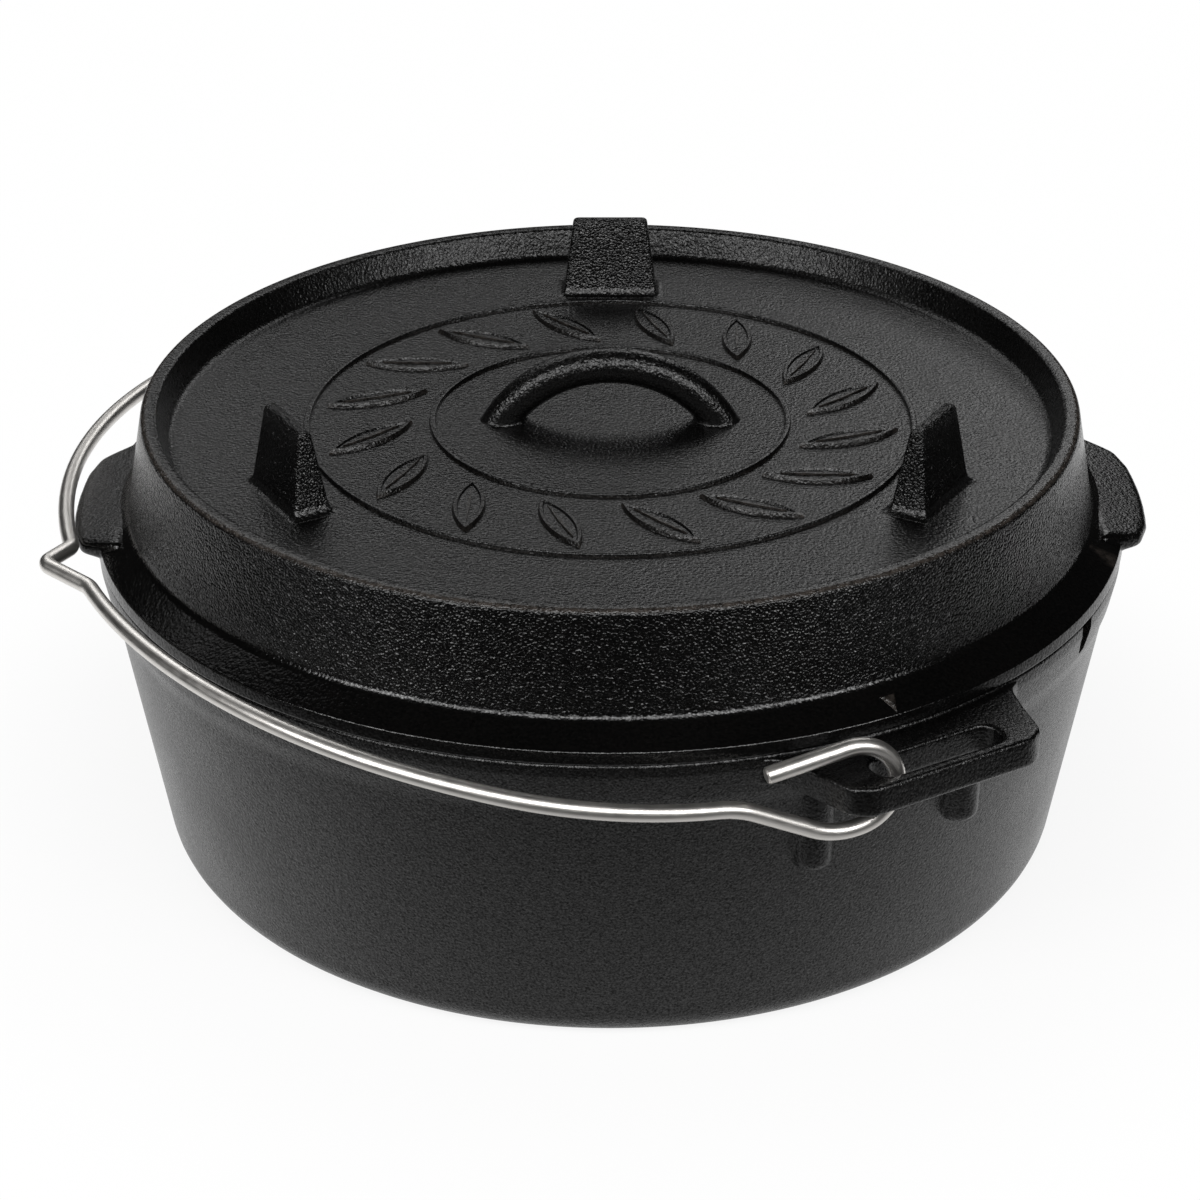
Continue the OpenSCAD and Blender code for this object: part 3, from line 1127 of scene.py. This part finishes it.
    def ornament(self) -> list[BMesh]:
        """Lays the ring of leaves between its two beads, and the pointer on the flange.

        Returns:
            The raised parts.
        """
        parts: list[BMesh] = []
        out = Matrix.Translation((self.leaf_r, 0, 0))
        for i in range(self.leaf_count):
            turn = spin_z((i + 0.5) * 360 / self.leaf_count) @ out @ spin_z(self.leaf_turn)
            parts.append(Foundry.place(self.blade(), turn))
        low, high = self.tray - 0.5, self.tray + self.relief
        crest, foot = self.bead
        for radius in (self.leaf_r + at for at in self.bead_at):
            bead = rounded([
                (radius - foot, low, 0), (radius - crest, high, 0.5),
                (radius + crest, high, 0.5), (radius + foot, low, 0),
            ], True, 20)
            parts.append(Foundry.ring(bead, 192))
        tip = [(-6.4, -3.1), (0.0, 0.0), (-6.4, 3.1)]
        mid = self.mark_mid
        mark = Foundry.loft([
            [(mid + (x - mid) * k, y * k, z) for x, y in tip]
            for z, k in ((-1.0, 1.0), (0.2, 1.0), (1.4, 0.5))
        ])
        fall = Matrix.Rotation(math.atan2(4.5, 10.0), 4, "Y")
        spot = Matrix.Translation((self.mark_spot[0], 0, self.mark_spot[1]))
        parts.append(Foundry.place(mark, spin_z(self.mark_az) @ spot @ fall))
        return parts

    def build(self) -> bpy.types.Object:
        """Makes the whole casting.

        Returns:
            The lid.
        """
        parts = [self.body(), self.grip()]
        parts += [self.tab(az) for az in self.tab_az]
        parts += [self.leg(az, radius) for az, radius in self.legs]
        parts += self.ornament()
        lid = Foundry.pour("lid_casting", Foundry.gather(parts))
        return self.dress(lid)

    def dress(self, lid: bpy.types.Object) -> bpy.types.Object:
        """Gives the lid its finish and its place in the frame.

        Args:
            lid: The casting.

        Returns:
            The same object.
        """
        lid.data.materials.append(self.finish.make("lid_iron"))
        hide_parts("lid")
        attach(lid, "lid")
        return lid


@dataclass
class BailWire:
    """The bail: one bent wire with a kink in its middle and a hook at each end."""

    wire_r: float = 2.4
    az: float = -71.0
    hinge_z: float = 96.15
    span: float = 171.02
    back: float = -8.748
    tilt: float = 5.4
    drop: float = 3.2
    far: float = 175.35
    lean_front: float = 1.1
    lean_rear: float = 1.55
    bow_front: float = 15.0
    bow_rear: float = 23.0
    kink_h: float = 7.2
    kink_front: float = 18.0
    kink_rear: float = 12.5
    tip_r: float = 4.0
    shoulder_front: float = 8.0
    shoulder_rear: float = 5.0
    end_r: float = 37.6
    bend_r: float = 30.0
    hook_r: float = 12.6
    hook_at: Pair = (-0.6, -0.2)
    sweep_r: float = 20.6
    sweep_from: float = 255.0
    hook_fall: float = 10.0
    hook_tail: float = 23.2
    tail_steps: int = 8
    least_step: float = 0.05
    chamfer: float = 0.45
    sides: int = 28
    lay_rate: float = 0.012
    finish: DrawnWire = field(default_factory=DrawnWire)

    def half(self, far: float, bow: float, kink: float, shoulder: float) -> list[Vector]:
        """Centreline of one half, from the kink's tip to the hook's tail.

        Args:
            far: Reach of the arch in its own plane.
            bow: How much larger the arch's radius is than the hinge's half span.
            kink: Half width of the kink.
            shoulder: Bend radius between kink and arch.

        Returns:
            Points in the hinge's frame.
        """
        radius = self.span + bow
        centre = far - radius
        end = self.end_r - centre
        side_r = (radius ** 2 - self.span ** 2 - end ** 2) / (2 * (radius - self.span))
        side_a = math.degrees(math.atan2(self.span - side_r, end))
        kink_a = math.degrees(math.asin(kink / radius))
        sx = (radius + shoulder) * kink / radius
        sy = centre + (radius + shoulder) * math.sqrt(1 - (kink / radius) ** 2)
        tip_y = self.far + self.kink_h - self.tip_r
        bend = math.asin((self.tip_r + shoulder) / math.hypot(sx, sy - tip_y))
        flank = math.degrees(bend - math.atan2(sy - tip_y, sx))
        flat = arc(0, tip_y, self.tip_r, 90, -flank, 6)
        flat += arc(sx, sy, shoulder, 270 - flank, flank - kink_a, 5)
        flat += arc(0, centre, radius, 90 - kink_a, kink_a - side_a, 1.5)
        flat += arc(self.span - side_r, self.end_r, side_r, 90 - side_a, side_a - 90, 1.5)
        turn = Matrix.Rotation(math.radians(-self.tilt), 3, "X")
        points = [turn @ Vector((x, -r, -self.drop)) for x, r in flat]
        return points + [Vector((self.span, -h, z)) for h, z in self.hook()]

    def hook(self) -> list[Pair]:
        """Centreline of a hook in its upright plane, from the end of the arch to the tail.

        Returns:
            Points as (distance towards the kink, height above the hinge).
        """
        tilt = math.radians(self.tilt)
        by = self.end_r * math.cos(tilt) + (self.drop + self.bend_r) * math.sin(tilt)
        bz = self.end_r * math.sin(tilt) - (self.drop + self.bend_r) * math.cos(tilt)
        turn = math.radians(self.sweep_from)
        cx = self.hook_at[0] + (self.hook_r - self.sweep_r) * math.cos(turn)
        cz = self.hook_at[1] + (self.hook_r - self.sweep_r) * math.sin(turn)
        lean = math.asin((self.bend_r + self.sweep_r) / math.hypot(by - cx, bz - cz))
        ramp = math.degrees(math.atan2(bz - cz, by - cx) + lean)
        points = arc(by, bz, self.bend_r, 90 + self.tilt, ramp - self.tilt, 2)
        points += arc(cx, cz, self.sweep_r, 270 + ramp, self.sweep_from - 270 - ramp, 4)
        sweep = 90 - self.hook_fall - self.sweep_from
        points += arc(*self.hook_at, self.hook_r, self.sweep_from, sweep, 5)
        fall = math.radians(self.hook_fall)
        start = Vector(points[-1])
        way = Vector((math.cos(fall), -math.sin(fall)))
        tail = [self.hook_tail * k / self.tail_steps for k in range(1, self.tail_steps + 1)]
        return points + [tuple(start + way * reach) for reach in tail]

    def line(self) -> list[Vector]:
        """Centreline of the whole wire, from the rear tail to the front tail.

        Returns:
            Points in the shared frame, in millimetres, without doubles.
        """
        front = self.half(
            self.far - self.lean_front, self.bow_front, self.kink_front, self.shoulder_front,
        )
        rear = self.half(
            self.far - self.lean_rear, self.bow_rear, self.kink_rear, self.shoulder_rear,
        )
        rear = [Vector((-p.x, p.y, p.z)) for p in rear]
        place = spin_z(self.az) @ Matrix.Translation((0, -self.back, self.hinge_z))
        points: list[Vector] = []
        for p in [place @ q for q in reversed(rear)] + [place @ q for q in front]:
            if not points or (p - points[-1]).length > self.least_step:
                points.append(p)
        return points

    def frames(self) -> list[tuple[Matrix, float]]:
        """Cross-section frames along the wire, carried without twist.

        Returns:
            Matrices of scaled frames, each with its distance along the wire.
        """
        points = self.line()
        spans = zip([points[0]] + points[:-1], points[1:] + [points[-1]])
        ways = [(ahead - behind).normalized() for behind, ahead in spans]
        up = Vector((0, 0, 1)) - ways[0] * ways[0].z
        frames: list[tuple[Matrix, float]] = []
        along = 0.0
        for i, (p, way) in enumerate(zip(points, ways)):
            up = (up - way * up.dot(way)).normalized()
            if i:
                along += (p - points[i - 1]).length
            axes = Matrix((way.cross(up), up, way)).transposed().to_4x4()
            frames.append((Matrix.Translation(p) @ axes, along))
        share = 1 - self.chamfer / self.wire_r
        ends: list[tuple[Matrix, float]] = []
        for (matrix, along), inwards in ((frames[0], self.chamfer), (frames[-1], -self.chamfer)):
            ends.append((matrix @ Matrix.Diagonal((share, share, 1, 1)), along))
            ends.append((matrix @ Matrix.Translation((0, 0, inwards)), along + inwards))
        return ends[:2] + frames[1:-1] + [ends[3], ends[2]]

    def build(self) -> bpy.types.Object:
        """Sweeps the wire.

        Returns:
            The bail.
        """
        bm = bmesh.new()
        lay = bm.verts.layers.float_vector.new(self.finish.lay)
        frames = self.frames()
        bmesh.ops.create_circle(bm, cap_ends=False, radius=self.wire_r, segments=self.sides)
        verts, edges = list(bm.verts), list(bm.edges)
        bmesh.ops.transform(bm, matrix=frames[0][0], verts=verts)
        rings = [(verts, frames[0])]
        for (before, _), frame in zip(frames, frames[1:]):
            grown = bmesh.ops.extrude_edge_only(bm, edges=edges)["geom"]
            verts = [g for g in grown if isinstance(g, BMVert)]
            edges = [g for g in grown if isinstance(g, BMEdge)]
            bmesh.ops.transform(bm, matrix=frame[0] @ before.inverted(), verts=verts)
            rings.append((verts, frame))
        for ring, (matrix, along) in rings:
            back = matrix.inverted()
            for vert in ring:
                x, y, _ = (back @ vert.co) / self.wire_r
                vert[lay] = Vector((x, y, along * self.lay_rate))
        bmesh.ops.holes_fill(bm, edges=[e for e in bm.edges if e.is_boundary], sides=0)
        bmesh.ops.recalc_face_normals(bm, faces=bm.faces)
        return self.dress(Foundry.pour("bail_wire", bm, 30))

    def dress(self, bail: bpy.types.Object) -> bpy.types.Object:
        """Gives the bail its finish and its place in the frame.

        Args:
            bail: The wire.

        Returns:
            The same object.
        """
        bail.data.materials.append(self.finish.make("bail_steel"))
        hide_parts("bail")
        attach(bail, "bail")
        return bail


@dataclass(frozen=True)
class Softbox:
    """A soft rectangular lamp that points at the object."""

    name: str
    spot: Triple
    size: Pair
    power: float
    aim: Triple = (0.0, 0.0, 0.06)

    def place(self) -> bpy.types.Object:
        """Adds the lamp to the scene.

        Returns:
            The lamp.
        """
        data = bpy.data.lights.new(self.name, "AREA")
        data.shape = "RECTANGLE"
        data.size, data.size_y = self.size
        data.energy = self.power
        lamp = link(self.name, data)
        lamp.location = self.spot
        way = Vector(self.aim) - Vector(self.spot)
        lamp.rotation_euler = way.to_track_quat("-Z", "Y").to_euler()
        lamp.visible_camera = False
        return lamp


@dataclass
class Studio:
    """A white table, soft lamps round the object, and the camera. All sizes are in metres."""

    lamps: tuple[Softbox, ...] = (
        Softbox("front_box", (0.0, -1.12, 1.08), (1.8, 0.52), 20.0),
        Softbox("left_box", (-1.12, -0.9, 0.78), (0.6, 0.45), 7.5),
        Softbox("right_box", (1.08, -0.95, 0.78), (0.6, 0.45), 6.5),
        Softbox("back_box", (-0.05, 1.4, 1.36), (1.9, 0.55), 7.6),
        Softbox("far_right_box", (0.46, 1.5, 0.73), (0.5, 0.36), 1.25),
        Softbox("far_left_box", (-0.55, 1.5, 0.66), (0.4, 0.3), 0.33),
        Softbox("high_box", (-0.8, 0.74, 1.2), (0.7, 0.6), 0.9),
    )
    ambient: float = 0.015
    floor_half: float = 3.0
    floor_z: float = -0.0002
    floor_grey: float = 0.9
    # Painted falloff: the floor's grey darkens away from the glowing patch for all but camera
    # rays.
    painted_falloff_weights: Pair = (0.95, 0.05)
    white: Pair = (0.87, 0.995)
    white_from: Pair = (0.15, 0.26)
    # A painted glowing patch of floor that only reflections see, and the radii over which it
    # fades.
    painted_pool_at: Triple = (-0.03, 0.2, 0.0)
    painted_pool_shape: Triple = (0.62, 1.0, 1.0)
    painted_pool: Pair = (0.22, 0.55)
    camera_spot: Triple = (0.0, -0.9003, 0.5428)
    camera_tilt: float = 62.32
    camera_near: float = 0.01
    sensor: float = 36.0
    lens: float = 97.66
    shift: Pair = (-0.0085, -0.0043)

    def floor(self) -> bpy.types.Object:
        """Lays the table.

        Returns:
            The floor.
        """
        bm = bmesh.new()
        bmesh.ops.create_grid(bm, x_segments=1, y_segments=1, size=self.floor_half)
        bmesh.ops.translate(bm, verts=bm.verts, vec=(0, 0, self.floor_z))
        floor = link("floor", Foundry.settle("floor", bm))
        floor.data.materials.append(self.table_white("floor_white"))
        return floor

    def table_white(self, name: str) -> bpy.types.Material:
        """Builds a white that keeps the shadow, with a painted glowing patch that the iron mirrors
        and a grey painted darker away from it.

        Args:
            name: Name of the material.

        Returns:
            The material.
        """
        sh = Shader(bpy.data.materials.new(name))
        rays = sh.node("ShaderNodeLightPath").outputs
        camera = rays["Is Camera Ray"]
        where = sh.where()
        # Painted light: the floor glows white in reflections close to the object and fades farther
        # out.
        shaped = sh.vector("MULTIPLY", sh.vector("SUBTRACT", where, self.painted_pool_at), self.painted_pool_shape)
        painted_pool = sh.remap(sh.vector("LENGTH", shaped), self.painted_pool, (1.0, 0.0))
        painted_reflection = sh.math("MAXIMUM", rays["Is Glossy Ray"], rays["Is Transmission Ray"])
        painted_reflection = sh.times(painted_reflection, painted_pool)
        # Painted falloff: the grey darkens away from the glowing patch except for camera rays.
        painted_falloff = sh.math("MULTIPLY_ADD", sh.math("POWER", painted_pool, 2.0), *self.painted_falloff_weights)
        painted_falloff = sh.math("MAXIMUM", painted_falloff, camera)
        white = sh.remap(sh.vector("LENGTH", where), self.white_from, self.white, smooth=True)
        seen = sh.times(sh.math("MAXIMUM", camera, painted_reflection), white)
        grey = sh.times(painted_falloff, self.floor_grey)
        lit = sh.node("ShaderNodeBsdfDiffuse", {"Color": grey}).outputs[0]
        glow = sh.node("ShaderNodeEmission", {"Color": WHITE, "Strength": 1.0}).outputs[0]
        return sh.finish(sh.node("ShaderNodeMixShader", {0: seen, 1: lit, 2: glow}).outputs[0])

    def world(self) -> None:
        """Sets a dim room that is white to the camera."""
        sh = Shader(bpy.data.worlds.new("room"))
        camera = sh.node("ShaderNodeLightPath").outputs["Is Camera Ray"]
        dim, bright = (
            sh.node("ShaderNodeBackground", {"Color": WHITE, "Strength": strength}).outputs[0]
            for strength in (self.ambient, 1.0)
        )
        mix = sh.node("ShaderNodeMixShader", {0: camera, 1: dim, 2: bright}).outputs[0]
        bpy.context.scene.world = sh.finish(mix, "ShaderNodeOutputWorld")

    def camera(self) -> bpy.types.Object:
        """Sets up the camera.

        Returns:
            The camera.
        """
        data = bpy.data.cameras.new("camera")
        data.lens = self.lens
        data.sensor_width = self.sensor
        data.shift_x, data.shift_y = self.shift
        data.clip_start = self.camera_near
        camera = link("camera", data)
        camera.location = self.camera_spot
        camera.rotation_euler = (math.radians(self.camera_tilt), 0, 0)
        bpy.context.scene.camera = camera
        return camera

    def build(self) -> None:
        """Sets the whole stage."""
        self.floor()
        self.world()
        for lamp in self.lamps:
            lamp.place()
        self.camera()
        bpy.context.scene.view_settings.view_transform = "Standard"


def corners(box: tuple[Vector, Vector]) -> list[list[float]]:
    """Both corners of a box as plain lists."""
    return [[float(c) for c in corner] for corner in box]


def main() -> None:
    """Builds the oven in the frame and sets the stage."""
    logging.basicConfig(level=logging.INFO, format="%(name)s: %(message)s")
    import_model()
    for maker in (PotCasting(), LidCasting(), BailWire()):
        piece = maker.build()
        piece.data.calc_loop_triangles()
        LOG.info("%s: %d triangles", piece.name, len(piece.data.loop_triangles))
    Studio().build()


if __name__ == "__main__":
    main()
